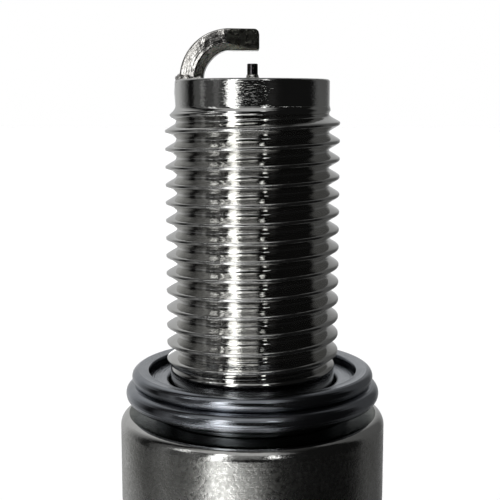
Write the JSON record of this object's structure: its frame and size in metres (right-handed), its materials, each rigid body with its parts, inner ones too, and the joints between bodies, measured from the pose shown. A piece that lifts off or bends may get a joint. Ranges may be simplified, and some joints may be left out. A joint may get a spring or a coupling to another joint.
{
  "type": "spark plug",
  "caption": "Motorcycle spark plug: rolled thread, folded gasket, hexagon, ribbed white insulator, side electrode over a fine tip, screw-on terminal nut.",
  "frame": {"origin": "on the plug's axis, in the plane of the gasket seat", "axes": "+Z along the axis towards the firing end; the ground electrode stands on the -X side"},
  "size_m": [0.016, 0.0184, 0.0722],
  "materials": {
    "nickel_plate": "bright nickel plate over steel",
    "nickel_alloy": "drawn and bent nickel alloy, glossy",
    "copper": "bare copper",
    "iridium": "ground iridium alloy, dark and glossy",
    "alumina": "white glazed alumina",
    "packing_steel": "plain steel",
    "talc": "pressed mineral powder",
    "glass_seal": "fused glass and metal powder",
    "resistor_body": "glass and carbon composite",
    "terminal_plate": "nickel-plated steel, turned",
    "gasket_steel": "folded sheet steel, dark satin"
  },
  "bodies": {
    "plug": {"shell": "nickel_plate", "ground_electrode": "nickel_alloy", "ground_weld": "nickel_alloy", "center_electrode": "nickel_alloy", "electrode_core": "copper", "tip_weld": "nickel_alloy", "iridium_tip": "iridium", "insulator": "alumina", "seat_packing": "packing_steel", "front_packing_ring": "packing_steel", "talc_ring": "talc", "rear_packing_ring": "packing_steel", "front_glass_seal": "glass_seal", "resistor": "resistor_body", "rear_glass_seal": "glass_seal", "terminal_stud": "terminal_plate"},
    "gasket": {"gasket": "gasket_steel"},
    "terminal_nut": {"terminal_nut": "terminal_plate"}
  },
  "joints": [
    {"name": "gasket_play", "type": "slide", "parent": "plug", "child": "gasket", "axis": [0, 0, 1], "range_m": [0, 0.0009]},
    {"name": "terminal_nut_unscrew", "type": "slide", "parent": "plug", "child": "terminal_nut", "axis": [0, 0, -1], "range_m": [0, 0.0095]}
  ]
}
